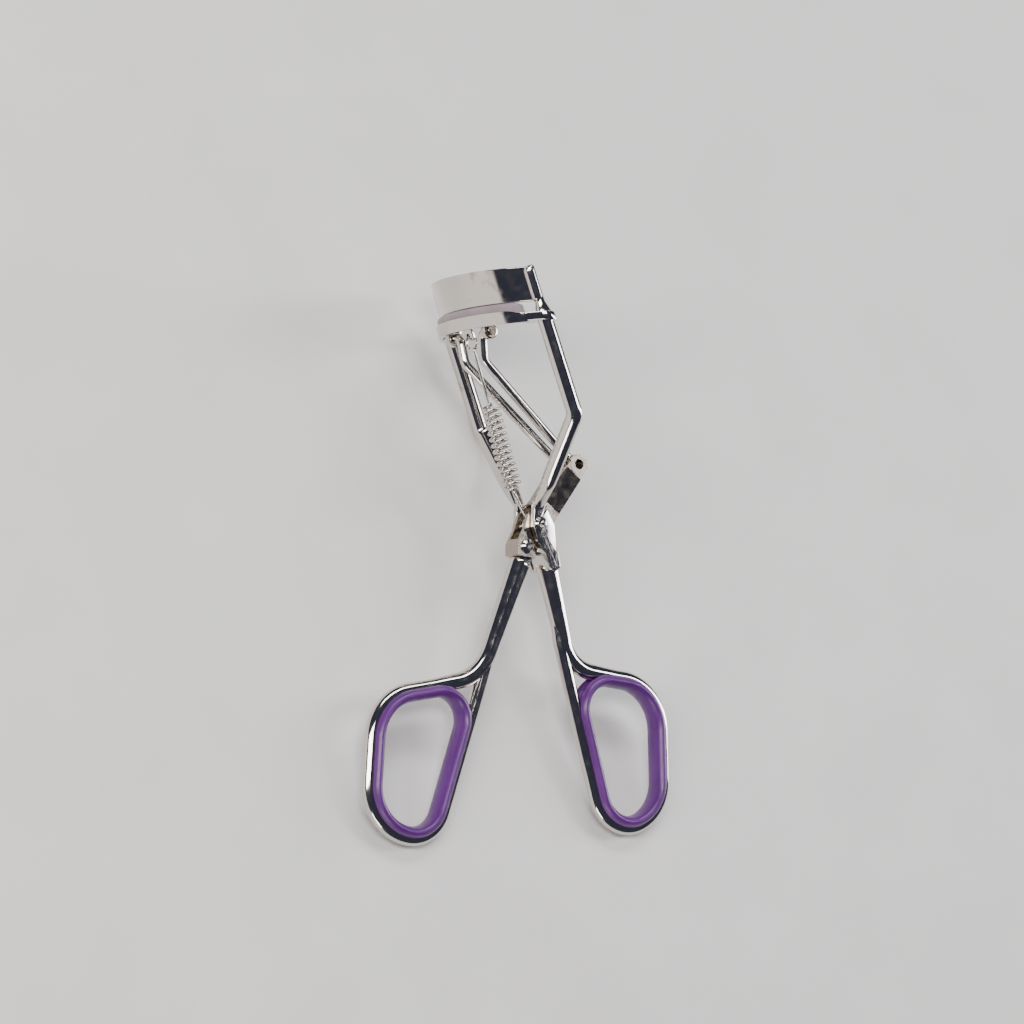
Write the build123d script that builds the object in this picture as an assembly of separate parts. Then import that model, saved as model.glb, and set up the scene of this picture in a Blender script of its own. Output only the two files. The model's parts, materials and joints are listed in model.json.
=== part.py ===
from build123d import *
import os
from math import atan2, cos, degrees, radians, sin

# Eyelash curler, millimetres.
# It is drawn standing up around its pivot: X across the two handles, Y along the pivot and the
# jaws, Z up the middle of the handles towards the jaws. At the end the whole of it is laid down
# on its side, as it lies on a table. It is drawn shut, with the pad under the upper jaw.

# --- driving dimensions -------------------------------------------------------------------
ROD_R = 1.5                 # side rods that the lower jaw slides on
ROD_Y = 15.0                # half the distance between the side rods
ROD_BEND = (-1.35, 18.6)    # X, Z of the elbow in each side rod
ROD_LEAN = 24.6             # degrees, the slide's lean towards -X above the elbow
ROD_NECK_R = 0.9            # their turned-down tops, which the upper jaw is brazed to
ROD_NECK_U = 20.0           # where the neck starts, measured along the slide from the elbow
ROD_TOP_U = 28.2            # rod's end
FLAT_IN, FLAT_OUT = 2.25, 3.45   # the rods' flattened tails, distances from mid-plane

PIN_R = 0.9                 # rivet shanks
PIN_FIT = 0.07              # running clearance in the lever's pivot holes
PIVOT_HEAD_R = 1.3
HANDLE_RIVET = (-1.53, -4.16)

EAR_IN, EAR_OUT = 1.25, 2.05     # the lever channel's side walls, distances from mid-plane
LEVER_PIN = (8.0, 12.05)   # X, Z of the yoke's cross-piece in the lever's end
LEVER_WALL = 0.8
BARREL_R = 1.9
BARREL_BORE = 0.95
BARREL_HALF = 3.5

HANDLE_AXIS_X = {"lever": 0.57, "frame": 2.0}    # where each handle's axis meets Z = 0
HANDLE_SPREAD = 18.45       # degrees between each handle and -Z
SHAFT_TOP_R = 2.05
SHAFT_BEND_R = 1.55
LOOP_R = 1.25
LUG_HALF = 1.2              # half thickness of the lever handle's flattened lug
GRIP_OFFSET = 1.05          # from the grip's middle out to the loop's wire
GRIP_HALF_WIDTH = 1.2
GRIP_HALF_HEIGHT = 2.35
GRIP_FIT = 0.03             # the cushion's groove is this much wider than the wire

YOKE_R = 0.85
YOKE_TOP = (-14.7, 33.1)    # X, Z of the yoke's upper ends
YOKE_BEND = (-13.7, 28.3)
YOKE_LEG_Y = 1.95           # half the distance between the legs at the lever
YOKE_TOP_Y = 3.5
YOKE_END_Y = 6.9
KNUCKLE_Y = 5.75
KNUCKLE_WIDTH = 1.3
KNUCKLE_BORE = 1.1
KNUCKLE_R = 1.5

JAW_R = 20.0                # the jaws' curve, on the middle of the plate
JAW_SAG = 6.8               # how far the curve stands out from the plane of the rods
JAW_DROOP = 7.0             # degrees, how far the jaws' edges slope down away from the rods
JAW_PLATE = 0.9
UPPER_LOW, UPPER_HIGH = 21.45, 27.9   # upper jaw, along the slide from the elbow
SKIRT_LOW = 17.5            # lower edge of the lower jaw's front wall
TROUGH_LOW = 18.1           # underside of its base
TROUGH_BASE = 0.6
TROUGH_RIM = 19.8
TROUGH_WALL = 0.6
TROUGH_HALF = 1.9           # half the trough's width
TROUGH_ANGLE = 40.5         # half its arc, degrees
PAD_TOP = 21.35
EYELET_R = 2.1
EYELET_BORE = 1.6
EYELET_LOW, EYELET_HIGH = 17.7, 19.3

SPRING_WIRE_R = 0.3
SPRING_R = 1.8
COIL_TOP = (-10.1, 21.1)
COIL_BOTTOM = (-3.65, 5.74)
SPRING_TAB_DROP = 1.6       # lower jaw's tab, from its underside to the spring's hole


def at(point, y=0.0):
    """A place in the plane of the handles, at a distance y along the pivot."""
    return Vector(point[0], y, point[1])


def rod(start, end, radius, end_radius=None):
    """A straight round bar, or a cone if it has an end radius."""
    run = Vector(end) - Vector(start)
    place = Plane(origin=start, z_dir=run)
    if end_radius is None:
        return place * Cylinder(radius, run.length, align=(Align.CENTER, Align.CENTER, Align.MIN))
    return place * Cone(radius, end_radius, run.length, align=(Align.CENTER, Align.CENTER, Align.MIN))


def pin(point, radius, half_length):
    """A round bar along the pivot direction, centred on the mid-plane."""
    return rod(at(point, -half_length), at(point, half_length), radius)


def wire(points, radii, radius):
    """A round wire along straight runs joined by arcs."""
    path = FilletPolyline(*points, radius=radii)
    start = Plane(origin=path @ 0, z_dir=path % 0)
    return sweep(start * Circle(radius), path=path)


def plate(outline, low, high):
    """A flat plate across the pivot direction, from an outline in X and Z."""
    face = make_face(Polyline(*[at(point, low) for point in outline], close=True))
    return extrude(face, amount=high - low, dir=(0, 1, 0))


def toward(angle, distance, start=(0.0, 0.0)):
    """A point in X and Z, at an angle in degrees from -Z, positive towards +X."""
    return (start[0] + distance * sin(radians(angle)), start[1] - distance * cos(radians(angle)))


# --- the slide: lower jaw's direction of travel ----------------------------------------------
SLIDE = Vector(-sin(radians(ROD_LEAN)), 0, cos(radians(ROD_LEAN)))
DROOP = Vector(-cos(radians(JAW_DROOP)), 0, -sin(radians(JAW_DROOP)))


def slide_point(u, y=0.0):
    """A point on the plane of the two side rods, u along the slide from the elbows."""
    return at(ROD_BEND, y) + SLIDE * u


def jaw_plane(u):
    """The plane of a jaw's edge: local X along the pivot, local Y out of the jaw's bulge."""
    return Plane(origin=slide_point(u), x_dir=(0, 1, 0), z_dir=Vector(0, 1, 0).cross(DROOP))


def arc_point(angle, radius=JAW_R):
    """A point on the jaws' curve, in the jaw plane, at an angle from its middle."""
    lean = radians(angle)
    return (radius * sin(lean), radius * cos(lean) - (JAW_R - JAW_SAG))


def arc_band(half_width, half_angle, low, high, round_ends=False, shift=0.0):
    """A curved strip that follows the jaws' curve, from low to high along the slide."""
    inner, outer = JAW_R - half_width + shift, JAW_R + half_width + shift
    edges = [
        ThreePointArc(arc_point(-half_angle, outer), arc_point(0, outer), arc_point(half_angle, outer)),
        Line(arc_point(half_angle, outer), arc_point(half_angle, inner)),
        ThreePointArc(arc_point(half_angle, inner), arc_point(0, inner), arc_point(-half_angle, inner)),
        Line(arc_point(-half_angle, inner), arc_point(-half_angle, outer)),
    ]
    section = make_face(edges)
    if round_ends:
        for side in (-1, 1):
            section += Pos(*arc_point(side * half_angle)) * Circle(half_width)
    return extrude(jaw_plane(low) * section, amount=high - low, dir=SLIDE)


# --- frame --------------------------------------------------------------------------------------
def side_rod(side):
    """A round rod: necked top, straight slide, elbow, run in to the pivot, and a flattened tail."""
    elbow = at(ROD_BEND, side * ROD_Y)
    foot = Vector(0, side * (FLAT_IN + 0.65), 3.3)
    end = foot + (foot - elbow).normalized() * 1.2
    body = wire([slide_point(ROD_NECK_U, side * ROD_Y), elbow, end], [3.0], ROD_R)
    neck_low, neck_high = ROD_NECK_U + 0.5, ROD_TOP_U - 0.4
    for low, high, low_r, high_r in [(ROD_NECK_U, neck_low, ROD_R, ROD_NECK_R),
                                     (neck_low, neck_high, ROD_NECK_R, ROD_NECK_R),
                                     (neck_high, ROD_TOP_U, ROD_NECK_R, ROD_NECK_R - 0.35)]:
        taper = None if low_r == high_r else high_r
        body += rod(slide_point(low, side * ROD_Y), slide_point(high, side * ROD_Y), low_r, taper)
    body -= Pos(0, 0, 2.0) * Box(14, 2 * FLAT_IN, 12)
    tail = [(-1.2, 4.2), (-1.35, 2.7), (-1.25, -0.6), (0.1, -3.6), (1.6, -5.2), (2.6, -7.6), (3.4, -8.0),
            (4.2, -7.4), (3.9, -4.6), (3.65, -2.3), (3.25, 0.4), (1.5, 2.9), (1.1, 4.2)]
    near, far = sorted((side * FLAT_IN, side * FLAT_OUT))
    body += plate(tail, near, far)
    return body - pin((0, 0), PIN_R, 8)


def handle_line(name, distance, aside=0.0):
    """A point on a handle's axis, at a distance below Z = 0, moved aside towards +X."""
    angle = HANDLE_SPREAD if name == "frame" else -HANDLE_SPREAD
    x, z = toward(angle, distance, (HANDLE_AXIS_X[name], 0.0))
    return (x + aside * cos(radians(angle)), z + aside * sin(radians(angle)))


# Each finger loop's inner cushion follows four corners: by the crotch, outer top, outer bottom and
# inner bottom, with a bend radius at each. The two loops are bent by hand and differ a little.
LOOPS = {
    "lever": {
        "corners": [(-10.2, -30.25), (-30.3, -35.35), (-30.5, -57.5), (-17.85, -58.5)],
        "radii": [5.0, 8.5, 8.0, 6.0],
        "bend": 10.0,
        "crotch": (-7.36, -24.0),
    },
    "frame": {
        "corners": [(11.05, -26.05), (29.9, -26.7), (31.9, -49.5), (20.65, -53.6)],
        "radii": [5.5, 8.5, 8.0, 6.0],
        "bend": 7.0,
        "crotch": (8.0, -20.6),
    },
}


def cross(a, b):
    return a[0] * b[1] - a[1] * b[0]


def meet(p, along_p, q, along_q):
    """Where two lines in X and Z meet."""
    t = cross((q[0] - p[0], q[1] - p[1]), along_q) / cross(along_p, along_q)
    return (p[0] + t * along_p[0], p[1] + t * along_p[1])


def loop_wire_points(name):
    """Corners of the loop's wire, which runs outside the cushion: offset lines and where they meet."""
    corners = LOOPS[name]["corners"]
    middle = (sum(c[0] for c in corners) / 4, sum(c[1] for c in corners) / 4)
    lines = []
    for here, there in zip(corners, corners[1:] + corners[:1]):
        along = (there[0] - here[0], there[1] - here[1])
        length = (along[0] ** 2 + along[1] ** 2) ** 0.5
        out = (along[1] / length, -along[0] / length)
        if (here[0] - middle[0]) * out[0] + (here[1] - middle[1]) * out[1] < 0:
            out = (-out[0], -out[1])
        lines.append(((here[0] + out[0] * GRIP_OFFSET, here[1] + out[1] * GRIP_OFFSET), along))
    top, outer, bottom, inner = lines
    shaft_start = handle_line(name, 0)
    shaft_along = (handle_line(name, 1)[0] - shaft_start[0], handle_line(name, 1)[1] - shaft_start[1])
    return [meet(shaft_start, shaft_along, *top), meet(*top, *outer), meet(*outer, *bottom),
            meet(*bottom, *inner), LOOPS[name]["crotch"]]


def handle_shaft(name, top_distance):
    """Tapered shaft, its bend into the loop, and the loop's wire back up to the shaft."""
    bend, outer_top, outer_bottom, inner_bottom, crotch = loop_wire_points(name)
    radii = [r + GRIP_OFFSET for r in LOOPS[name]["radii"]]
    bend_radius = LOOPS[name]["bend"]
    start = handle_line(name, top_distance)
    path = FilletPolyline(at(start), at(bend), at(outer_top), radius=[bend_radius])
    straight, arc = path.edges()[0], path.edges()[1]
    body = rod(straight @ 0, straight @ 1, SHAFT_TOP_R, SHAFT_BEND_R)
    body += sweep(Plane(origin=arc @ 0, z_dir=arc % 0) * Circle(SHAFT_BEND_R), path=arc)
    neck_end = (arc @ 1) + (arc % 1) * 5.0
    body += rod(arc @ 1, neck_end, SHAFT_BEND_R, LOOP_R)
    body += wire([neck_end, at(outer_top), at(outer_bottom), at(inner_bottom), at(crotch)],
                 radii[1:], LOOP_R)
    return body + Pos(*at(crotch)) * Sphere(LOOP_R)


def grip(name, handle):
    """Vinyl cushion inside the loop: an oval section with a groove that holds the handle's wire."""
    loop = LOOPS[name]
    path = FilletPolyline(*[at(c) for c in loop["corners"]], radius=loop["radii"], close=True)
    start, along = path @ 0, path % 0
    middle = at((sum(c[0] for c in loop["corners"]) / 4, sum(c[1] for c in loop["corners"]) / 4))
    across = along.cross(Vector(0, 1, 0)).normalized()
    if (start - middle).dot(across) < 0:
        across = across * -1
    section = Ellipse(GRIP_HALF_WIDTH, GRIP_HALF_HEIGHT) - Pos(GRIP_OFFSET, 0) * Circle(LOOP_R + GRIP_FIT)
    frame = Plane(origin=start, x_dir=across, z_dir=across.cross(Vector(0, 1, 0)))
    return sweep(frame * section, path=path) - handle


def frame_handle():
    """The fixed handle, with a squared tongue held between the rods' tails."""
    body = handle_shaft("frame", 7.0)
    tongue = [handle_line("frame", 4.9, -1.7), handle_line("frame", 4.4, 0.0), handle_line("frame", 4.9, 1.7),
              handle_line("frame", 8.0, 1.5), handle_line("frame", 8.6, 0.0), handle_line("frame", 8.0, -1.5)]
    return body + plate(tongue, -FLAT_IN, FLAT_IN)


def pivot_rivet():
    body = pin((0, 0), PIN_R, FLAT_OUT)
    for side in (-1, 1):
        head = rod((0, side * FLAT_OUT, 0), (0, side * (FLAT_OUT + 0.35), 0), PIVOT_HEAD_R)
        head += rod((0, side * (FLAT_OUT + 0.35), 0), (0, side * (FLAT_OUT + 0.75), 0),
                    PIVOT_HEAD_R, PIVOT_HEAD_R - 0.45)
        head -= rod((0, side * (FLAT_OUT + 0.3), 0), (0, side * (FLAT_OUT + 1.0), 0), 0.25, 0.7)
        body += head
    return body


def spring_hole():
    """Centre of the hole in the lower jaw's tab, where the spring's top hook passes."""
    return slide_point(TROUGH_LOW) + DROOP * JAW_SAG - SLIDE * SPRING_TAB_DROP


def spring_eye(plane_x, centre, reach):
    """A round hook of the spring's wire, in the mid-plane."""
    return Plane(origin=centre, x_dir=plane_x, z_dir=(0, 1, 0)) * Torus(reach, SPRING_WIRE_R)


def return_spring():
    """Extension spring: hook on the pivot rivet, close coils as one tube, hook in the jaw's tab."""
    top, bottom = at(COIL_TOP), at(COIL_BOTTOM)
    along = (top - bottom).normalized()
    body = rod(bottom, top, SPRING_R)
    body -= rod(bottom + along * 0.6, top - along * 0.6, SPRING_R - 2 * SPRING_WIRE_R)
    low_reach = PIN_R + SPRING_WIRE_R + 0.02
    body += rod(along * low_reach, bottom + along * 0.3, SPRING_WIRE_R)
    body += spring_eye(along, (0, 0, 0), low_reach)
    high_reach = 1.15
    centre = spring_hole() - SLIDE * (high_reach + 0.05)
    body += rod(centre - SLIDE * high_reach, top - along * 0.3, SPRING_WIRE_R)
    return body + spring_eye(SLIDE, centre, high_reach)


def upper_jaw():
    """Thin curved plate, brazed at both ends to the necks of the side rods."""
    body = arc_band(JAW_PLATE / 2, 47.6, UPPER_LOW, UPPER_HIGH)
    for side in (-1, 1):
        low, high = slide_point(UPPER_LOW - 2, side * ROD_Y), slide_point(UPPER_HIGH + 2, side * ROD_Y)
        body -= rod(low, high, ROD_NECK_R)
    return body


# --- lever --------------------------------------------------------------------------------------
LEVER_LENGTH = (LEVER_PIN[0] ** 2 + LEVER_PIN[1] ** 2) ** 0.5
LEVER_ANGLE = degrees(atan2(LEVER_PIN[0], LEVER_PIN[1]))


def arm_point(along, up):
    """A point in X and Z on the lever: along it from the pivot, and up towards the jaws' side."""
    lean = radians(LEVER_ANGLE)
    return (along * sin(lean) - up * cos(lean), along * cos(lean) + up * sin(lean))


def lever_arm():
    """Bent sheet channel: two ears, a web on the jaws' side, and a rolled barrel at the end."""
    outline = [arm_point(LEVER_LENGTH, 1.85), arm_point(9.0, 1.6), arm_point(3.0, 1.9),
               arm_point(0.6, 2.3), (-2.3, -0.9), (-3.6, -3.8), (-3.5, -5.9), (0.2, -6.2), (0.75, -4.6),
               (1.5, -2.2), arm_point(2.6, -2.9), arm_point(5.0, -2.8), arm_point(LEVER_LENGTH, -1.85)]
    solid = plate(outline, -BARREL_HALF, BARREL_HALF)
    end = LEVER_LENGTH + 3
    widths = [(-9.0, EAR_OUT), (5.0, EAR_OUT), (LEVER_LENGTH - 2, 3.4), (end, 3.4)]
    flare = [(a, -w) for a, w in widths] + [(a, w) for a, w in reversed(widths)]
    inside = [(a, LEVER_WALL - w) for a, w in widths] + [(a, w - LEVER_WALL) for a, w in reversed(widths)]
    along, out = at(arm_point(1, 0)), at(arm_point(0, 1))
    top = Plane(origin=at(arm_point(0, 10)), x_dir=along, z_dir=out)
    body = solid & extrude(top * make_face(Polyline(*flare, close=True)), amount=-20)
    under_web = [arm_point(end, 0.95), arm_point(9.0, 1.6 - LEVER_WALL), arm_point(3.0, 1.9 - LEVER_WALL),
                 arm_point(-0.5, 1.5), (-1.5, -0.6), (-2.7, -3.8), (-2.6, -7.0), (8.0, -7.0),
                 arm_point(end, -6.0)]
    hollow = plate(under_web, -BARREL_HALF, BARREL_HALF)
    body -= hollow & extrude(top * make_face(Polyline(*inside, close=True)), amount=-30)
    mouth = [arm_point(3.4, 6), arm_point(3.4, -6), (-4.5, -3.2), (-4.5, 6)]
    body -= plate(mouth, -EAR_IN, EAR_IN)
    window = [arm_point(LEVER_LENGTH - 5.4, 5), arm_point(LEVER_LENGTH - 3.1, 5),
              arm_point(LEVER_LENGTH - 3.1, 0), arm_point(LEVER_LENGTH - 5.4, 0)]
    body -= plate(window, -1.7, 1.7)
    body += pin(LEVER_PIN, BARREL_R, BARREL_HALF)
    body -= pin(LEVER_PIN, BARREL_BORE, BARREL_HALF + 1)
    for side in (-1, 1):
        near, far = sorted((side * 0.85, side * 3.05))
        body -= plate(leg_sweep(), near, far)
    body -= pin((0, 0), PIN_R + PIN_FIT, 8)
    return body - pin(HANDLE_RIVET, PIN_R, 8)


def leg_sweep():
    """Outline in X and Z of the room that a yoke leg needs as the lever turns under it."""
    half, reach, travel, spare = YOKE_R + 0.25, 7.0, 32.0, 4.0
    leg = degrees(atan2(YOKE_BEND[1] - LEVER_PIN[1], YOKE_BEND[0] - LEVER_PIN[0]))

    def beside(turn, distance, offset):
        lean = radians(leg + turn)
        return (LEVER_PIN[0] + distance * cos(lean) - offset * sin(lean),
                LEVER_PIN[1] + distance * sin(lean) + offset * cos(lean))

    return [beside(-spare, -0.3, -half), beside(-spare, reach, -half), beside(travel / 2, reach + 1, 0),
            beside(travel, reach, half), beside(travel, -0.3, half)]


def lever_handle():
    """The moving handle, with a flat lug between the lever's ears."""
    body = handle_shaft("lever", 7.4)
    lug = [handle_line("lever", 1.2, -1.2), handle_line("lever", 1.2, 1.5), handle_line("lever", 3.4, 1.75),
           handle_line("lever", 8.0, 1.8), handle_line("lever", 8.0, -1.0), handle_line("lever", 3.4, -1.1)]
    body += plate(lug, -LUG_HALF, LUG_HALF)
    body -= pin((0, 0), 2.3, 8)
    return body - pin(HANDLE_RIVET, PIN_R, 8)


def handle_rivet():
    body = pin(HANDLE_RIVET, PIN_R, EAR_OUT)
    for side in (-1, 1):
        inner, outer = at(HANDLE_RIVET, side * EAR_OUT), at(HANDLE_RIVET, side * (EAR_OUT + 0.3))
        body += rod(inner, outer, 1.25)
        body += rod(outer, at(HANDLE_RIVET, side * (EAR_OUT + 0.65)), 1.25, 0.8)
    return body


# --- yoke and lower jaw ---------------------------------------------------------------------------
def push_yoke():
    """One bent wire: cross-piece in the lever's barrel, two legs, and ends bent out to the jaw."""
    half = [at(YOKE_TOP, YOKE_END_Y), at(YOKE_TOP, YOKE_TOP_Y), at(YOKE_BEND, 3.0),
            at(LEVER_PIN, YOKE_LEG_Y)]
    other = [Vector(p.X, -p.Y, p.Z) for p in reversed(half)]
    return wire(half + other, [1.5, 2.5, 1.4, 1.4, 2.5, 1.5], YOKE_R)


def lower_jaw():
    """Curved trough for the pad, eyelets on the side rods, knuckles for the yoke, spring tab."""
    trough = arc_band(TROUGH_HALF, TROUGH_ANGLE, TROUGH_LOW, TROUGH_RIM)
    skirt = arc_band(TROUGH_HALF, TROUGH_ANGLE, SKIRT_LOW, TROUGH_LOW)
    skirt -= arc_band(TROUGH_HALF, TROUGH_ANGLE + 3, SKIRT_LOW - 1, TROUGH_LOW, shift=-TROUGH_WALL)
    groove = arc_band(TROUGH_HALF - TROUGH_WALL, TROUGH_ANGLE + 3, TROUGH_LOW + TROUGH_BASE, TROUGH_RIM + 1)
    end_y = arc_point(TROUGH_ANGLE)[0]
    ramp = [(end_y + 3, SKIRT_LOW - 1), (end_y + 3, SKIRT_LOW + 1.0), (end_y - 2.6, TROUGH_RIM),
            (end_y - 2.6, TROUGH_RIM + 1)]
    ramp += [(-y, u) for y, u in reversed(ramp)]
    profile = make_face(Polyline(*[slide_point(u, y) for y, u in ramp], close=True))
    body = (trough + skirt - groove) & extrude(profile, amount=14, dir=DROOP, both=True)
    for side in (-1, 1):
        body += eyelet(side)
        body += rod(*knuckle_ends(side, KNUCKLE_WIDTH / 2), KNUCKLE_R)
    for side in (-1, 1):
        low, high = slide_point(0, side * ROD_Y), slide_point(ROD_TOP_U, side * ROD_Y)
        body -= rod(low, high, EYELET_BORE)
        body -= rod(*knuckle_ends(side, KNUCKLE_WIDTH + 1), KNUCKLE_BORE)
    hole = spring_hole()
    drop = SPRING_TAB_DROP + 0.9
    across = Plane(origin=hole + SLIDE * (SPRING_TAB_DROP + 0.2 - drop / 2), x_dir=(0, 1, 0), z_dir=DROOP)
    tab = across * Box(2.4, drop, 0.7) - rod(hole - DROOP * 2, hole + DROOP * 2, 0.6)
    return body + tab - lash_pad()


def knuckle_ends(side, reach):
    """Both ends of a knuckle, or of its bore, at a reach each way from its middle."""
    return [at(YOKE_TOP, side * (KNUCKLE_Y + step * reach)) for step in (-1, 1)]


def eyelet(side):
    """Long loop on a side rod, before it is bored: two rounds and the strip between them."""
    outer, inner = (side * ROD_Y, 0.0), arc_point(side * (TROUGH_ANGLE + 0.5))
    run = (inner[0] - outer[0], inner[1] - outer[1])
    length = (run[0] ** 2 + run[1] ** 2) ** 0.5
    normal = (-run[1] / length, run[0] / length)
    strip = [(centre[0] + sign * normal[0] * radius, centre[1] + sign * normal[1] * radius)
             for centre, radius, sign in [(outer, EYELET_R, 1), (inner, TROUGH_HALF, 1),
                                          (inner, TROUGH_HALF, -1), (outer, EYELET_R, -1)]]
    section = make_face(Polyline(*strip, close=True))
    section += Pos(*outer) * Circle(EYELET_R) + Pos(*inner) * Circle(TROUGH_HALF)
    return extrude(jaw_plane(EYELET_LOW) * section, amount=EYELET_HIGH - EYELET_LOW, dir=SLIDE)


def lash_pad():
    """Silicone strip standing in the trough, with rounded ends."""
    return arc_band(TROUGH_HALF - TROUGH_WALL, 35.5, TROUGH_LOW + TROUGH_BASE, PAD_TOP, round_ends=True)


fixed_handle, moving_handle = frame_handle(), lever_handle()
PARTS = {
    "upper_jaw": upper_jaw(),
    "near_side_rod": side_rod(-1),
    "far_side_rod": side_rod(1),
    "frame_handle": fixed_handle,
    "frame_handle_grip": grip("frame", fixed_handle),
    "pivot_rivet": pivot_rivet(),
    "return_spring": return_spring(),
    "lever_arm": lever_arm(),
    "lever_handle": moving_handle,
    "lever_handle_grip": grip("lever", moving_handle),
    "handle_rivet": handle_rivet(),
    "push_yoke": push_yoke(),
    "lower_jaw": lower_jaw(),
    "lash_pad": lash_pad(),
}


# --- laid down on a table -----------------------------------------------------------------------
def rest_direction():
    """Upward direction of the table that touches the far rod's elbow and both loops' bottoms."""
    touches = [(at(ROD_BEND, ROD_Y), ROD_R)]
    for name in LOOPS:
        low, high = LOOPS[name]["corners"][2:]
        touches.append((at(((low[0] + high[0]) / 2, (low[1] + high[1]) / 2)), GRIP_HALF_HEIGHT))
    up = Vector(0, -1, 0)
    for _ in range(6):
        a, b, c = [centre - up * reach for centre, reach in touches]
        up = (b - a).cross(c - a).normalized()
        if up.Y > 0:
            up = up * -1
    return up


up = rest_direction()
forward = (Vector(0, 0, 1) - up * up.Z).normalized()
table = Plane(origin=(0, 0, 0), x_dir=forward.cross(up), z_dir=up)
laid = {name: table.to_local_coords(part) for name, part in PARTS.items()}
box = Compound(list(laid.values())).bounding_box()
drop = Pos(-(box.min.X + box.max.X) / 2, -(box.min.Y + box.max.Y) / 2, -box.min.Z)

os.makedirs("parts", exist_ok=True)
for name, part in laid.items():
    export_step(drop * part, f"parts/{name}.step")

pivot = drop.position
print("size", box.size, "pivot", pivot, "x", table.x_dir, "y", table.y_dir, "up", table.z_dir)
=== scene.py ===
import json
from math import atan2, cos, pi, radians, sin, sqrt, tan

import bmesh
import bpy
from mathutils import Matrix, Vector


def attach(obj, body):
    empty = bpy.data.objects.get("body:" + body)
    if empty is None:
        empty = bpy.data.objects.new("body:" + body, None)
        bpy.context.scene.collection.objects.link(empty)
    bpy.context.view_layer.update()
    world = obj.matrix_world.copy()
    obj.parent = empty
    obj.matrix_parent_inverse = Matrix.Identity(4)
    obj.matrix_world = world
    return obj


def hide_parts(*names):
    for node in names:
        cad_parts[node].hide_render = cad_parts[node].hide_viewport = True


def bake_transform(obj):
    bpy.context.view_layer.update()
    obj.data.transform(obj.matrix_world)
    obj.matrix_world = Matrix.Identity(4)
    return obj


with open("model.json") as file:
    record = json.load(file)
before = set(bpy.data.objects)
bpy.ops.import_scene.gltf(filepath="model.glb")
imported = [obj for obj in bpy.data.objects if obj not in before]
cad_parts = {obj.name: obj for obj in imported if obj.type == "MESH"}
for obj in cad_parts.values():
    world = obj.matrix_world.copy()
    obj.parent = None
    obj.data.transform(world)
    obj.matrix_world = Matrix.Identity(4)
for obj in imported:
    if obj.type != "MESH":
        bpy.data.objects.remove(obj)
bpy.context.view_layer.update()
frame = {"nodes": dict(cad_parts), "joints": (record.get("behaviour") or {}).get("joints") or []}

# Everything is worked out in millimetres in the tool's own axes, as it stands up around its pivot:
# X across the handles, Y along the pivot and the jaws, Z up to the jaws. row() takes it to the table.
MM = 0.001
JOINTS = {joint["name"]: joint for joint in frame["joints"]}
PIVOT = Vector(JOINTS["handle_pivot"]["pos_m"])
AXIS_Y = Vector(JOINTS["handle_pivot"]["axis"]).normalized()
AXIS_Z = Vector((0, -AXIS_Y.z, AXIS_Y.y)).normalized()
AXIS_X = AXIS_Y.cross(AXIS_Z)
Y = Vector((0, 1, 0))

# The side rods. Pairs are (x, z); u runs along the slide, up from the elbows.
ROD_R, ROD_Y, ROD_BEND, ROD_LEAN = 1.5, 15.0, (-1.35, 18.6), 24.6
NECK_R, NECK_U, ROD_TOP_U = 0.9, 20.0, 28.2
FLAT_IN, FLAT_OUT = 2.25, 3.45      # the squeezed feet's faces, from the tool's middle plane
PIN_R = 0.9

# The handles and their cushions.
HANDLE_AXIS_X = {"lever": 0.57, "frame": 2.0}       # where a shaft's axis crosses the pivot's level
HANDLE_ANGLE = {"lever": -18.45, "frame": 18.45}
SHAFT_TOP_R, SHAFT_BEND_R, LOOP_R = 2.05, 1.55, 1.25
HIDDEN_WIRE = 12.0                  # the loop wire's end, drawn on inside the shaft
GRIP_OFFSET, GRIP_HALF_WIDTH, GRIP_HALF_HEIGHT = 1.05, 1.2, 2.35
GRIP_FIT = 0.03                     # the cushion's groove is this much wider than the wire

# The yoke, from the lever's rolled end to the lower jaw's knuckles.
LEVER_PIN = (8.0, 12.05)
YOKE_R, YOKE_TOP, YOKE_BEND = 0.85, (-14.7, 33.1), (-13.7, 28.3)
KNUCKLE_IN, KNUCKLE_OUT, KNUCKLE_R, KNUCKLE_BORE = 5.1, 6.4, 1.5, 1.1

# The jaws. Angles run along their curve from its middle, and levels are u along the slide.
JAW_R, JAW_SAG, JAW_DROOP = 20.0, 6.8, 7.0
UPPER_LOW, UPPER_HIGH, UPPER_HALF_ANGLE, PLATE_HALF = 21.45, 27.9, 47.6, 0.45
SKIRT_LOW, TROUGH_LOW, TROUGH_FLOOR, TROUGH_RIM = 17.5, 18.1, 18.7, 19.8
TROUGH_OUT, TROUGH_IN, TROUGH_ANGLE = 1.9, 1.3, 40.5
RIM_SLOPE_RUN, RIM_SLOPE = 2.6, 0.23                # the rim's fall towards the channel's ends
EYELET_R, EYELET_BORE, EYELET_LOW, EYELET_HIGH = 2.1, 1.6, 17.7, 19.3
TAB_HALF_WIDTH, TAB_HALF_THICK, TAB_HOLE_R, TAB_DROP = 1.2, 0.35, 0.6, 1.6

# The pad. Its ends are rounded over PAD_END_ANGLE beyond PAD_ANGLE.
PAD_TOP, PAD_ANGLE, PAD_END_ANGLE = 21.35, 35.5, 3.72
PAD_GAP, PAD_CORNER_R, PAD_END_DROP, PAD_TIP_HALF = 0.02, 0.55, 0.45, 0.12

# The spring.
SPRING_WIRE_R, SPRING_R, SPRING_TURNS, TURN_POINTS = 0.3, 1.8, 14.5, 28
COIL_TOP, COIL_BOTTOM = (-10.1, 21.1), (-3.65, 5.74)
COIL_LEAD = 0.8                     # straight wire on the coil's axis, at both ends
FADE_TURNS = 0.7                    # over these the coil opens from its axis to its full radius
HOOK_R = 1.15

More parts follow.
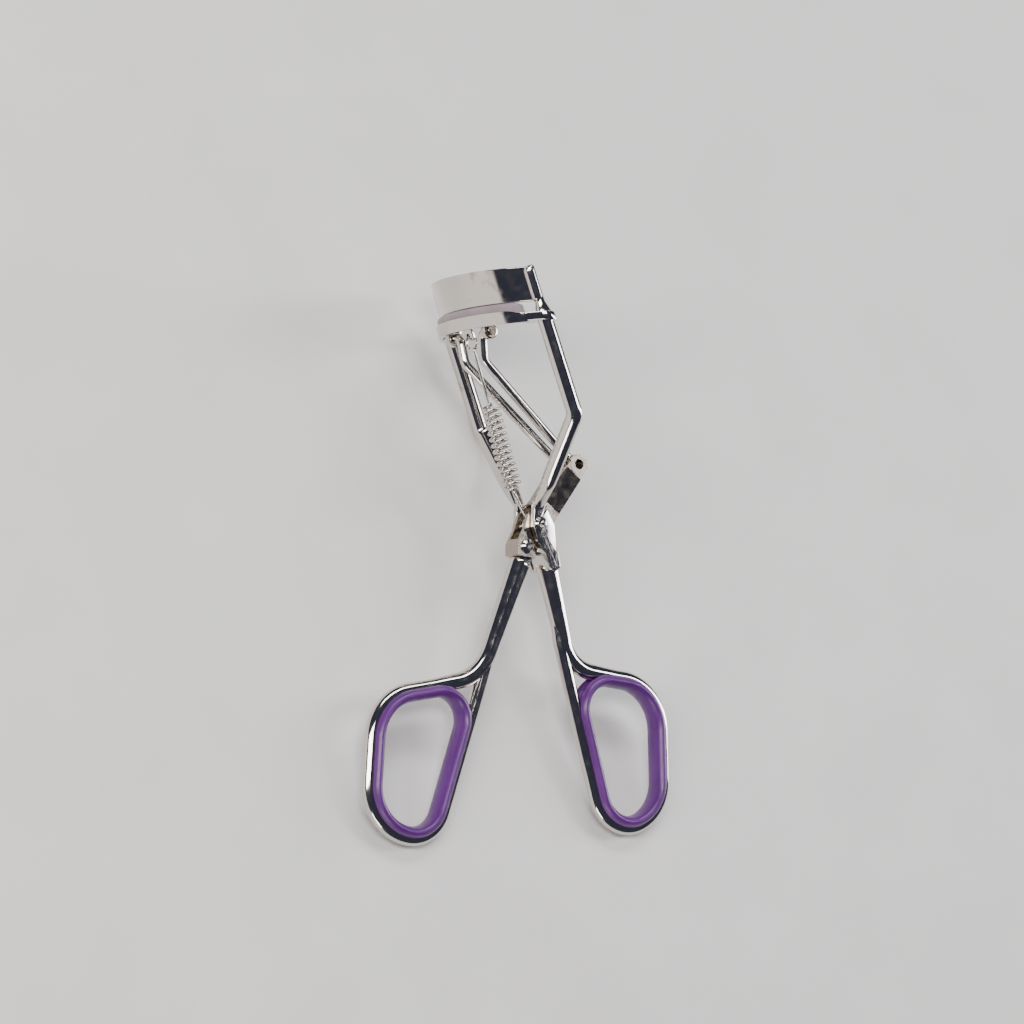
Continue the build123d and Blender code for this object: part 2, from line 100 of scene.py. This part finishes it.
# The camera and the lights. Distances and sizes are in metres, powers in watts.
VIEW_RIGHT, VIEW_BACK = (0.8245, -0.5636, 0.0496), (-0.5512, -0.8199, -0.1544)
AIM_RIGHT, AIM_UP = -3.09, 2.49     # from the pivot, in millimetres
VIEW_DISTANCE = 0.9
LENS, SENSOR_WIDTH = 174.0, 36.0    # in millimetres
LIT_POINT = (0, 0, 0.01)
SOFTBOXES = [                       # place, width, depth, power, colour
    ((-0.45, -0.05, 0.55), 0.16, 0.80, 6.0, (1.00, 0.98, 0.95)),
    ((0.62, 0.10, 0.26), 0.14, 0.80, 4.4, (0.95, 0.97, 1.00)),
    ((0.00, 0.55, 0.60), 0.70, 0.16, 4.0, (1.00, 1.00, 1.00)),
    ((-0.34, -0.60, 0.12), 0.30, 0.12, 1.2, (1.00, 0.97, 0.90)),
]

# The finger loops: the corners of each cushion's middle line as (x, z), and their radii. bend is the
# shaft's radius where it turns into the loop, start is where the shaft begins below the pivot's level,
# and crotch is where the wire comes back to the shaft.
LOOPS = {
    "lever": {"corners": [(-10.2, -30.25), (-30.3, -35.35), (-30.5, -57.5), (-17.85, -58.5)],
              "radii": [5.0, 8.5, 8.0, 6.0], "bend": 10.0, "crotch": (-7.36, -24.0), "start": 7.0},
    "frame": {"corners": [(11.05, -26.05), (29.9, -26.7), (31.9, -49.5), (20.65, -53.6)],
              "radii": [5.5, 8.5, 8.0, 6.0], "bend": 7.0, "crotch": (8.0, -20.6), "start": 6.8},
}
SLIDE = Vector((-sin(radians(ROD_LEAN)), 0, cos(radians(ROD_LEAN))))
DROOP = Vector((-cos(radians(JAW_DROOP)), 0, -sin(radians(JAW_DROOP))))


# --- geometry ---------------------------------------------------------------------------------
def turn(v):
    """A direction in the tool's axes, as a direction in the row's frame."""
    return AXIS_X * v[0] + AXIS_Y * v[1] + AXIS_Z * v[2]


def row(p):
    """A point in the tool's millimetres, as a point in the row's frame."""
    return PIVOT + turn(p) * MM


def at(point, y=0.0):
    return Vector((point[0], y, point[1]))


def slide_point(u, y=0.0, out=0.0):
    """On the rods' plane, u along the slide from the elbows, and moved out of the jaws' bulge."""
    return at(ROD_BEND, y) + SLIDE * u + DROOP * out


def arc_point(angle, radius=JAW_R):
    """(y, out) on the jaws' curve."""
    lean = radians(angle)
    return (radius * sin(lean), radius * cos(lean) - (JAW_R - JAW_SAG))


def jaw_point(angle, offset, u):
    """On the jaws' curve at a level, moved outward from it by offset."""
    y, out = arc_point(angle, JAW_R + offset)
    return slide_point(u, y, out)


def steps(low, high, count):
    return [low + (high - low) * i / count for i in range(count + 1)]


def corner_arc(a, b, c, radius, count):
    """Points of the arc that rounds the corner b between a and c."""
    to_a, to_c = (a - b).normalized(), (c - b).normalized()
    half = to_a.angle(to_c) / 2
    centre = b + (to_a + to_c).normalized() * (radius / sin(half))
    first = (b + to_a * (radius / tan(half)) - centre).normalized()
    last = (b + to_c * (radius / tan(half)) - centre).normalized()
    return [centre + first.slerp(last, s) * radius for s in steps(0, 1, count)]


def bend_path(corners, radii, count=24):
    """Straight runs joined by arcs, with points no further than about a millimetre apart."""
    points = [corners[0]]
    for i, radius in enumerate(radii, 1):
        points += corner_arc(corners[i - 1], corners[i], corners[i + 1], radius, count)
    return fill(points + [corners[-1]])


def bend_loop(corners, radii, count=24):
    points = []
    for i, radius in enumerate(radii):
        points += corner_arc(corners[i - 1], corners[i], corners[(i + 1) % len(corners)], radius, count)
    return fill(points + [points[0]])[:-1]


def fill(points, gap=1.0):
    """The same path, with points no further than about gap apart."""
    dense = [points[0]]
    for p, q in zip(points, points[1:]):
        if (q - p).length > 1e-6:
            parts = max(1, round((q - p).length / gap))
            dense += [p.lerp(q, i / parts) for i in range(1, parts + 1)]
    return dense


def path_length(points):
    return sum((q - p).length for p, q in zip(points, points[1:]))


def rounded(outline, radius, count=5):
    """A closed flat outline, as (a, b) pairs, with its corners rounded."""
    flat = [Vector((a, b, 0)) for a, b in outline]
    points = []
    for i, corner in enumerate(flat):
        points += corner_arc(flat[i - 1], corner, flat[(i + 1) % len(flat)], radius, count)
    return [(p.x, p.y) for p in points]


def circle(radius_a, radius_b=None, count=40):
    """A circle, or an ellipse when radius_b is given, as (a, b) pairs."""
    radius_b = radius_a if radius_b is None else radius_b
    turns = [2 * pi * i / count for i in range(count)]
    return [(radius_a * cos(t), radius_b * sin(t)) for t in turns]


def between(table, distance):
    """A value from a table of (distance, value), in straight lines."""
    for (d0, v0), (d1, v1) in zip(table, table[1:]):
        if distance <= d1:
            return v0 + (v1 - v0) * max(0.0, distance - d0) / (d1 - d0)
    return table[-1][1]


class Shape:
    """Vertices and faces of one mesh, in the tool's millimetres."""

    def __init__(self):
        self.points = []
        self.faces = []

    def rings(self, rings, closed=False):
        """Skin over rings of points: caps at both ends, or the last joined to the first."""
        start, count = len(self.points), len(rings[0])
        for ring in rings:
            self.points += ring
        last = len(rings) if closed else len(rings) - 1
        for i in range(last):
            here, there = start + i * count, start + (i + 1) % len(rings) * count
            for j in range(count):
                k = (j + 1) % count
                self.faces.append((here + j, here + k, there + k, there + j))
        if not closed:
            end = start + (len(rings) - 1) * count
            self.faces.append(tuple(range(start + count - 1, start - 1, -1)))
            self.faces.append(tuple(range(end, end + count)))
        return self

    def sweep(self, points, section, side=None, closed=False, outward=1):
        """Carries a section along a path. section(distance) gives (a, b) pairs: b lies along side,
        or follows the path without twisting when no side is given."""
        total, rings, guide = 0.0, [], Y if side is None else side
        for i, p in enumerate(points):
            before = points[i - 1] if i or closed else p
            after = points[(i + 1) % len(points)] if i + 1 < len(points) or closed else p
            along = (after - before).normalized()
            if i:
                total += (p - points[i - 1]).length
            upright = (guide - along * guide.dot(along)).normalized()
            if side is None:
                guide = upright
            wide = along.cross(upright) * outward
            rings.append([p + wide * a + upright * b for a, b in section(total)])
        return self.rings(rings, closed)

    def slab(self, outline, place, low, high, edge=0.12, hole=None):
        """A plate from an outline of (a, b) pairs, with softened edges. place(a, b, level) gives its
        points; hole is (a, b, radius) and lies inside the outline."""
        mid_a = sum(a for a, _ in outline) / len(outline)
        mid_b = sum(b for _, b in outline) / len(outline)
        part = edge * 0.3           # the softened edge's middle, near the quarter circle
        levels = [(edge, low), (part, low + part), (0, low + edge), (0, high - edge),
                  (part, high - part), (edge, high)]
        walls = []
        for inset, level in levels:
            ring = []
            for a, b in outline:
                keep = 1 - inset / sqrt((a - mid_a) ** 2 + (b - mid_b) ** 2)
                ring.append(place(mid_a + (a - mid_a) * keep, mid_b + (b - mid_b) * keep, level))
            walls.append(ring)
        if hole is None:
            return self.rings(walls)
        hole_a, hole_b, radius = hole
        angles = [atan2(b - hole_b, a - hole_a) for a, b in outline]
        bore = []
        for level in (high, low):
            bore.append([place(hole_a + radius * cos(t), hole_b + radius * sin(t), level) for t in angles])
        return self.rings(walls + bore, closed=True)

    def make(self, name, material, body, slot, replaced, sharp=40.0):
        """The finished piece. It rides a body, or none when no body is given."""
        mesh = bpy.data.meshes.new(name)
        mesh.from_pydata([row(p) for p in self.points], [], self.faces)
        mesh.validate()
        mesh.shade_smooth()
        mesh.set_sharp_from_angle(angle=radians(sharp))
        mesh.materials.append(material)
        piece = bpy.data.objects.new(name, mesh)
        bpy.context.scene.collection.objects.link(piece)
        outward_normals(mesh)
        flatten = piece.modifiers.new("flat faces", "WEIGHTED_NORMAL")
        flatten.keep_sharp = True
        if body:
            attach(piece, body)
        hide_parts(*replaced)
        return piece


def outward_normals(mesh):
    shape = bmesh.new()
    shape.from_mesh(mesh)
    bmesh.ops.recalc_face_normals(shape, faces=shape.faces)
    shape.to_mesh(mesh)
    shape.free()


# --- materials --------------------------------------------------------------------------------
def new_material(name):
    material = bpy.data.materials.new(name)
    material.use_nodes = True
    nodes = material.node_tree.nodes
    return material, nodes, material.node_tree.links, nodes["Principled BSDF"]


def noise(nodes, links, scale, detail=4.0, stretch=None):
    """A noise texture on the object's own coordinates, in metres, stretched along one axis if asked."""
    place = nodes.new("ShaderNodeTexCoord")
    texture = nodes.new("ShaderNodeTexNoise")
    texture.inputs["Scale"].default_value = scale
    texture.inputs["Detail"].default_value = detail
    source = place.outputs["Object"]
    if stretch:
        mapping = nodes.new("ShaderNodeMapping")
        mapping.inputs["Scale"].default_value = stretch
        links.new(source, mapping.inputs["Vector"])
        source = mapping.outputs["Vector"]
    links.new(source, texture.inputs["Vector"])
    return texture.outputs["Fac"]


def ramp(nodes, links, source, stops):
    node = nodes.new("ShaderNodeValToRGB")
    band = node.color_ramp
    while len(band.elements) < len(stops):
        band.elements.new(0.5)
    for element, (place, colour) in zip(band.elements, stops):
        element.position = place
        element.color = (*colour, 1.0)
    links.new(source, node.inputs["Fac"])
    return node.outputs["Color"]


def grey(value):
    return (value, value, value)


def bump(nodes, links, shader, source, strength, distance):
    node = nodes.new("ShaderNodeBump")
    node.inputs["Strength"].default_value = strength
    node.inputs["Distance"].default_value = distance
    links.new(source, node.inputs["Height"])
    links.new(node.outputs["Normal"], shader.inputs["Normal"])


def plated(name, clean, stained, rough_low, rough_high):
    """Bright plating with brownish stains, dull patches, fine scratches and faint waviness."""
    material, nodes, links, shader = new_material(name)
    shader.inputs["Metallic"].default_value = 1.0
    stains = noise(nodes, links, 180.0, 6.0)
    links.new(ramp(nodes, links, stains, [(0.40, clean), (0.62, clean), (0.80, stained)]),
              shader.inputs["Base Color"])
    dull = noise(nodes, links, 650.0, 8.0)
    links.new(ramp(nodes, links, dull, [(0.35, grey(rough_low)), (0.75, grey(rough_high))]),
              shader.inputs["Roughness"])
    scratches = noise(nodes, links, 2600.0, 3.0, (1.0, 0.12, 1.0))
    bump(nodes, links, shader, scratches, 0.10, 0.00002)
    return material


def vinyl():
    material, nodes, links, shader = new_material("purple vinyl")
    patches = noise(nodes, links, 140.0, 5.0)
    links.new(ramp(nodes, links, patches, [(0.30, (0.070, 0.009, 0.125)), (0.70, (0.105, 0.016, 0.175))]),
              shader.inputs["Base Color"])
    links.new(ramp(nodes, links, noise(nodes, links, 900.0, 6.0), [(0.3, grey(0.30)), (0.7, grey(0.46))]),
              shader.inputs["Roughness"])
    shader.inputs["Subsurface Weight"].default_value = 0.04
    shader.inputs["Subsurface Scale"].default_value = 0.0015
    shader.inputs["Subsurface Radius"].default_value = (1.0, 0.4, 1.0)
    shader.inputs["Coat Weight"].default_value = 0.12
    shader.inputs["Coat Roughness"].default_value = 0.25
    bump(nodes, links, shader, noise(nodes, links, 1500.0, 4.0), 0.18, 0.00003)
    return material


def silicone():
    material, nodes, links, shader = new_material("grey silicone")
    patches = noise(nodes, links, 260.0, 6.0)
    links.new(ramp(nodes, links, patches, [(0.30, (0.25, 0.20, 0.22)), (0.72, (0.34, 0.28, 0.31))]),
              shader.inputs["Base Color"])
    links.new(ramp(nodes, links, noise(nodes, links, 1200.0), [(0.3, grey(0.5)), (0.7, grey(0.68))]),
              shader.inputs["Roughness"])
    shader.inputs["Sheen Weight"].default_value = 0.15
    bump(nodes, links, shader, noise(nodes, links, 3000.0, 5.0), 0.22, 0.00002)
    return material


CHROME = plated("bright plating", (0.64, 0.60, 0.56), (0.30, 0.20, 0.12), 0.06, 0.17)
PRESSED = plated("pressed plating", (0.40, 0.35, 0.30), (0.15, 0.10, 0.06), 0.16, 0.36)
WIRE = plated("spring wire", (0.58, 0.54, 0.50), (0.30, 0.21, 0.14), 0.14, 0.30)
VINYL = vinyl()
SILICONE = silicone()
STEEL_SLOT = "plated_steel"


# --- frame ------------------------------------------------------------------------------------
def side_rod(name, side):
    """Necked top with a rounded tip, straight slide, elbow, and a foot squeezed flat."""
    foot = Vector((0, side * (FLAT_IN + FLAT_OUT) / 2, 3.3))
    top = slide_point(ROD_TOP_U, side * ROD_Y)
    path = bend_path([top, at(ROD_BEND, side * ROD_Y), foot], [3.0])
    length = path_length(path)
    neck = ROD_TOP_U - NECK_U
    # Half widths and half depths by distance from the tip.
    width = [(0, 0.35), (0.12, 0.62), (0.3, 0.82), (0.5, NECK_R), (neck - 0.5, NECK_R), (neck + 0.1, ROD_R),
             (length - 7, ROD_R), (length, 1.15)]
    depth = width[:-2] + [(length - 5, ROD_R), (length - 0.5, 0.62)]
    lead = [top.lerp(path[1], s) for s in (0.12, 0.3, 0.5)]
    path = path[:1] + lead + path[1:]
    shape = Shape().sweep(path, lambda d: circle(between(width, d), between(depth, d)), Y)
    tail = [(-1.2, 4.2), (-1.35, 2.7), (-1.25, -0.6), (0.1, -3.6), (1.6, -5.2), (2.6, -7.6), (3.4, -8.0),
            (4.2, -7.4), (3.9, -4.6), (3.65, -2.3), (3.25, 0.4), (1.5, 2.9), (1.1, 4.2)]
    low, high = sorted((side * FLAT_IN, side * FLAT_OUT))
    shape.slab(rounded(tail, 0.16), lambda a, b, y: at((a, b), y), low, high, 0.22, (0, 0, PIN_R))
    shape.make(name, CHROME, "frame", STEEL_SLOT, [name])


def upper_jaw():
    """Curved plate with softened edges, and the brazing where it meets the rods' necks."""
    section = rounded([(-PLATE_HALF, UPPER_LOW), (PLATE_HALF, UPPER_LOW), (PLATE_HALF, UPPER_HIGH),
                       (-PLATE_HALF, UPPER_HIGH)], 0.2)
    rings = [[jaw_point(angle, a, u) for a, u in section]
             for angle in steps(-UPPER_HALF_ANGLE, UPPER_HALF_ANGLE, 120)]
    shape = Shape().rings(rings)
    # The brazing's half widths by distance upwards.
    braze_a = [(0, 0.75), (0.5, 1.08), (5.8, 1.08), (6.6, 0.8)]
    braze_b = [(0, 0.7), (0.4, 1.0), (5.9, 1.0), (6.6, 0.75)]
    for side in (-1, 1):
        ends = [slide_point(u, side * (ROD_Y - 0.15), 0.1) for u in (UPPER_LOW, UPPER_HIGH - 0.1)]
        shape.sweep(fill(ends, 0.2), lambda d: circle(between(braze_a, d), between(braze_b, d)), Y)
    shape.make("upper_jaw_plate", CHROME, "frame", STEEL_SLOT, ["upper_jaw"])


def handle_line(name, distance, aside=0.0):
    """On a handle's axis, at a distance below the pivot's level, moved aside towards +X."""
    lean = radians(HANDLE_ANGLE[name])
    return (HANDLE_AXIS_X[name] + distance * sin(lean) + aside * cos(lean),
            aside * sin(lean) - distance * cos(lean))


def cross(a, b):
    """The cross product of two flat directions."""
    return a[0] * b[1] - a[1] * b[0]


def meet(p, along_p, q, along_q):
    """Where two lines in X and Z meet."""
    t = cross((q[0] - p[0], q[1] - p[1]), along_q) / cross(along_p, along_q)
    return (p[0] + t * along_p[0], p[1] + t * along_p[1])


def loop_wire_points(name):
    """The corners of the wire outside a loop's cushion: offset lines and where they meet."""
    corners = LOOPS[name]["corners"]
    mid_x = sum(x for x, _ in corners) / len(corners)
    mid_z = sum(z for _, z in corners) / len(corners)
    lines = []
    for here, there in zip(corners, corners[1:] + corners[:1]):
        along = (there[0] - here[0], there[1] - here[1])
        length = sqrt(along[0] ** 2 + along[1] ** 2)
        out = (along[1] / length, -along[0] / length)
        if (here[0] - mid_x) * out[0] + (here[1] - mid_z) * out[1] < 0:
            out = (-out[0], -out[1])
        lines.append(((here[0] + out[0] * GRIP_OFFSET, here[1] + out[1] * GRIP_OFFSET), along))
    top, outer, bottom, inner = lines
    start, next_point = handle_line(name, 0), handle_line(name, 1)
    shaft_along = (next_point[0] - start[0], next_point[1] - start[1])
    return [meet(start, shaft_along, *top), meet(*top, *outer), meet(*outer, *bottom),
            meet(*bottom, *inner), LOOPS[name]["crotch"]]


def handle(name, body):
    """Tapered shaft bent into the loop's wire, with the flattened end that joins it to the pivot."""
    loop = LOOPS[name]
    wire = [at(p) for p in loop_wire_points(name)]
    start = at(handle_line(name, loop["start"]))
    radii = [loop["bend"]] + [r + GRIP_OFFSET for r in loop["radii"][1:]]
    crotch = loop["crotch"]
    hidden_end = handle_line(name, -crotch[1] / cos(radians(HANDLE_ANGLE[name])) - HIDDEN_WIRE)
    path = bend_path([start] + wire, radii) + fill([wire[-1], at(hidden_end)])[1:]
    half = (start - wire[0]).angle(wire[1] - wire[0]) / 2
    straight = (wire[0] - start).length - loop["bend"] / tan(half)
    bend_end = straight + loop["bend"] * (pi - 2 * half)
    length = path_length(path)
    size = [(0, SHAFT_TOP_R - 0.3), (0.4, SHAFT_TOP_R), (straight, SHAFT_BEND_R), (bend_end, SHAFT_BEND_R),
            (bend_end + 5, LOOP_R), (length - HIDDEN_WIRE, LOOP_R), (length, 0.8)]
    path = path[:1] + [path[0].lerp(path[1], s) for s in (0.2, 0.4)] + path[1:]
    shape = Shape().sweep(path, lambda d: circle(between(size, d)), Y)
    if name == "frame":
        end = [(4.9, -1.7), (4.4, 0.0), (4.9, 1.7), (8.0, 1.5), (8.6, 0.0), (8.0, -1.5)]
        half_thick = FLAT_IN
    else:
        end = [(1.4, -1.1), (1.4, 1.4), (3.4, 1.7), (8.0, 1.75), (8.0, -1.0), (3.4, -1.05)]
        half_thick = 1.2
    outline = rounded([handle_line(name, d, aside) for d, aside in end], 0.3)
    shape.slab(outline, lambda a, b, y: at((a, b), y), -half_thick, half_thick, 0.2)
    shape.make(name + "_handle_bar", CHROME, body, STEEL_SLOT, [name + "_handle"])


def grip(name, body, outward):
    """Vinyl cushion moulded inside the loop, with thin lips that hold the wire."""
    loop = LOOPS[name]
    path = bend_loop([at(c) for c in loop["corners"]], loop["radii"])
    groove_r = LOOP_R + GRIP_FIT
    body_points = [(a, b) for a, b in circle(GRIP_HALF_WIDTH, GRIP_HALF_HEIGHT, 72)
                   if sqrt((a - GRIP_OFFSET) ** 2 + b * b) > groove_r]
    body_points.sort(key=lambda p: atan2(p[1], -p[0]))
    low, high = body_points[0], body_points[-1]
    first = atan2(high[1], high[0] - GRIP_OFFSET)
    last = atan2(low[1], low[0] - GRIP_OFFSET) + 2 * pi
    groove = [(GRIP_OFFSET + groove_r * cos(t), groove_r * sin(t)) for t in steps(first, last, 24)[1:-1]]
    profile = body_points + groove
    shape = Shape().sweep(path, lambda d: profile, Y, True, outward)
    shape.make(name + "_loop_cushion", VINYL, body, "grip_vinyl", [name + "_handle_grip"], 55.0)


# --- moving parts -------------------------------------------------------------------------------
def push_yoke():
    """One bent wire: across the lever's rolled end, up both sides, and out into the knuckles."""
    half = [at(YOKE_TOP, 6.9), at(YOKE_TOP, 3.5), at(YOKE_BEND, 3.0), at(LEVER_PIN, 1.95)]
    other = [Vector((p.x, -p.y, p.z)) for p in reversed(half)]
    path = bend_path(half + other, [1.5, 2.5, 1.4, 1.4, 2.5, 1.5])
    across = at(LEVER_PIN) - at(YOKE_TOP)
    shape = Shape().sweep(path, lambda d: circle(YOKE_R, count=32), Y.cross(across).normalized())
    shape.make("yoke_wire", CHROME, "yoke", STEEL_SLOT, ["push_yoke"])


def trough_section(angle):
    """The lower jaw's channel, with a deeper front wall, lower towards its ends."""
    end_y = arc_point(TROUGH_ANGLE)[0]
    beyond = max(0.0, abs(arc_point(angle)[0]) - (end_y - RIM_SLOPE_RUN))
    rim = TROUGH_RIM - RIM_SLOPE * beyond
    floor = min(TROUGH_FLOOR, rim - 0.1)
    return [(TROUGH_OUT, SKIRT_LOW), (TROUGH_OUT, rim), (TROUGH_IN, rim), (TROUGH_IN, floor),
            (-TROUGH_IN, floor), (-TROUGH_IN, rim), (-TROUGH_OUT, rim), (-TROUGH_OUT, TROUGH_LOW),
            (TROUGH_IN, TROUGH_LOW), (TROUGH_IN, SKIRT_LOW)]


def eyelet_outline(side):
    """The flat loop that rides on a rod: an oval from the rod to the channel's end."""
    outer, inner = Vector((side * ROD_Y, 0.0)), Vector(arc_point(side * (TROUGH_ANGLE + 0.5)))
    heading = atan2((outer - inner).y, (outer - inner).x)
    points = []
    for centre, radius, first in ((outer, EYELET_R, heading - pi / 2), (inner, TROUGH_OUT, heading + pi / 2)):
        points += [centre + Vector((cos(t), sin(t))) * radius for t in steps(first, first + pi, 24)]
    return [(p.x, p.y) for p in points]


def lower_jaw():
    """Channel for the pad, eyelets on the rods, knuckles for the yoke, and the spring's tab."""
    rings = []
    for angle in steps(-TROUGH_ANGLE, TROUGH_ANGLE, 110):
        rings.append([jaw_point(angle, a, u) for a, u in rounded(trough_section(angle), 0.04, 3)])
    shape = Shape().rings(rings)
    for side in (-1, 1):
        shape.slab(eyelet_outline(side), lambda y, out, u: slide_point(u, y, out), EYELET_LOW, EYELET_HIGH,
                   0.15, (side * ROD_Y, 0.0, EYELET_BORE))
        low, high = sorted((side * KNUCKLE_IN, side * KNUCKLE_OUT))
        shape.slab(circle(KNUCKLE_R), lambda a, b, y: at((YOKE_TOP[0] + a, YOKE_TOP[1] + b), y), low, high,
                   0.15, (0, 0, KNUCKLE_BORE))
    tab = rounded([(-TAB_HALF_WIDTH, 0.2), (TAB_HALF_WIDTH, 0.2), (TAB_HALF_WIDTH, -2.4),
                   (-TAB_HALF_WIDTH, -2.4)], 0.5)
    shape.slab(tab, lambda y, drop, out: slide_point(TROUGH_LOW, y, JAW_SAG + out) + SLIDE * drop,
               -TAB_HALF_THICK, TAB_HALF_THICK, 0.1, (0, -TAB_DROP, TAB_HOLE_R))
    shape.make("lower_jaw_channel", CHROME, "lower_jaw", STEEL_SLOT, ["lower_jaw"])


def lash_pad():
    """Silicone strip with a rounded crown and rounded ends."""
    end = PAD_ANGLE + PAD_END_ANGLE
    rings = []
    for angle in steps(-end, end, 150):
        past = max(0.0, abs(angle) - PAD_ANGLE) / PAD_END_ANGLE
        half = max(PAD_TIP_HALF, (TROUGH_IN - PAD_GAP) * sqrt(max(0.0, 1 - past ** 2)))
        crown = PAD_TOP - PAD_END_DROP * past ** 2
        section = [(-half, TROUGH_FLOOR), (half, TROUGH_FLOOR), (half, crown), (-half, crown)]
        corner_r = min(PAD_CORNER_R, half * 0.8)
        rings.append([jaw_point(angle, a, u) for a, u in rounded(section, corner_r)])
    shape = Shape().rings(rings)
    pad = shape.make("lash_pad_strip", SILICONE, "lower_jaw", "pad_silicone", ["lash_pad"], 60.0)


def return_spring():
    """Extension spring of one wire: an eye on the pivot, open coils, and a hook in the jaw's tab."""
    top, bottom = at(COIL_TOP), at(COIL_BOTTOM)
    along, across = (top - bottom).normalized(), Y.cross(top - bottom).normalized()
    eye_r = PIN_R + SPRING_WIRE_R + 0.02
    points = [along * eye_r * cos(t) + across * eye_r * sin(t) for t in steps(-1.7 * pi, 0, 40)]
    points = fill(points + [bottom - along * COIL_LEAD], 0.4)
    coil_r, length = SPRING_R - SPRING_WIRE_R, (top - bottom).length
    for s in steps(0, 1, int(SPRING_TURNS * TURN_POINTS)):
        spread = min(1.0, s * SPRING_TURNS / FADE_TURNS, (1 - s) * SPRING_TURNS / FADE_TURNS)
        spread = spread * spread * (3 - 2 * spread)
        t = 2 * pi * SPRING_TURNS * s
        points.append(bottom + along * length * s + (Y * cos(t) + across * sin(t)) * coil_r * spread)
    hole = slide_point(TROUGH_LOW, 0, JAW_SAG) - SLIDE * TAB_DROP
    centre, side = hole - SLIDE * (HOOK_R + 0.05), Y.cross(SLIDE).normalized()
    points += fill([points[-1] + along * COIL_LEAD, centre - SLIDE * HOOK_R], 0.4)
    points += [centre - SLIDE * HOOK_R * cos(t) + side * HOOK_R * sin(t) for t in steps(0.1, 1.75 * pi, 40)]
    shape = Shape().sweep(points, lambda d: circle(SPRING_WIRE_R, count=14))
    spring = shape.make("spring_coil", WIRE, None, "spring_wire", ["return_spring"])
    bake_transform(spring)


def carried_over():
    """CAD nodes that stay: they get rounded edges, smooth shading and their plating."""
    finishes = {"lever_arm": (PRESSED, 0.12), "pivot_rivet": (CHROME, 0.1), "handle_rivet": (CHROME, 0.1)}
    for name, (material, edge) in finishes.items():
        node = frame["nodes"][name]
        node.data.materials.clear()
        node.data.materials.append(material)
        node.data.shade_smooth()
        soften = node.modifiers.new("edges", "BEVEL")
        soften.width = edge * MM
        soften.segments = 3
        soften.limit_method = "ANGLE"
        soften.angle_limit = radians(38)
        soften.harden_normals = True


# --- studio -----------------------------------------------------------------------------------
def floor():
    material, nodes, links, shader = new_material("pale floor")
    patches = noise(nodes, links, 40.0)
    links.new(ramp(nodes, links, patches, [(0.3, (0.74, 0.72, 0.70)), (0.7, (0.79, 0.77, 0.75))]),
              shader.inputs["Base Color"])
    shader.inputs["Roughness"].default_value = 0.6
    bpy.ops.mesh.primitive_plane_add(size=4)
    plane = bpy.context.object
    plane.name = "floor"
    plane.data.materials.append(material)


def softbox(place, width, depth, power, colour):
    data = bpy.data.lights.new("softbox", "AREA")
    data.shape = "RECTANGLE"
    data.size, data.size_y, data.energy, data.color = width, depth, power, colour
    light = bpy.data.objects.new("softbox", data)
    light.location = place
    light.rotation_euler = (Vector(LIT_POINT) - Vector(place)).to_track_quat("-Z", "Y").to_euler()
    bpy.context.scene.collection.objects.link(light)


def studio():
    """Dim bluish room, so that plating has something dark to reflect, and four softboxes."""
    world = bpy.data.worlds.new("studio")
    bpy.context.scene.world = world
    world.use_nodes = True
    background = world.node_tree.nodes["Background"]
    background.inputs["Color"].default_value = (0.05, 0.055, 0.085, 1)
    background.inputs["Strength"].default_value = 0.9
    for place, width, depth, power, colour in SOFTBOXES:
        softbox(place, width, depth, power, colour)


def camera():
    """A long lens; its right and back directions are given in the tool's axes."""
    right = turn(VIEW_RIGHT).normalized()
    back = turn(VIEW_BACK).normalized()
    up = back.cross(right)
    data = bpy.data.cameras.new("camera")
    data.sensor_width = SENSOR_WIDTH
    data.lens = LENS
    aim = PIVOT + (right * AIM_RIGHT + up * AIM_UP) * MM
    view = bpy.data.objects.new("camera", data)
    axes = Matrix((right, up, back)).transposed().to_4x4()
    view.matrix_world = Matrix.Translation(aim + back * VIEW_DISTANCE) @ axes
    bpy.context.scene.collection.objects.link(view)
    bpy.context.scene.camera = view


camera()
studio()
floor()
side_rod("near_side_rod", -1)
side_rod("far_side_rod", 1)
upper_jaw()
handle("frame", "frame")
handle("lever", "lever")
grip("frame", "frame", 1)
grip("lever", "lever", -1)
push_yoke()
lower_jaw()
lash_pad()
return_spring()
carried_over()
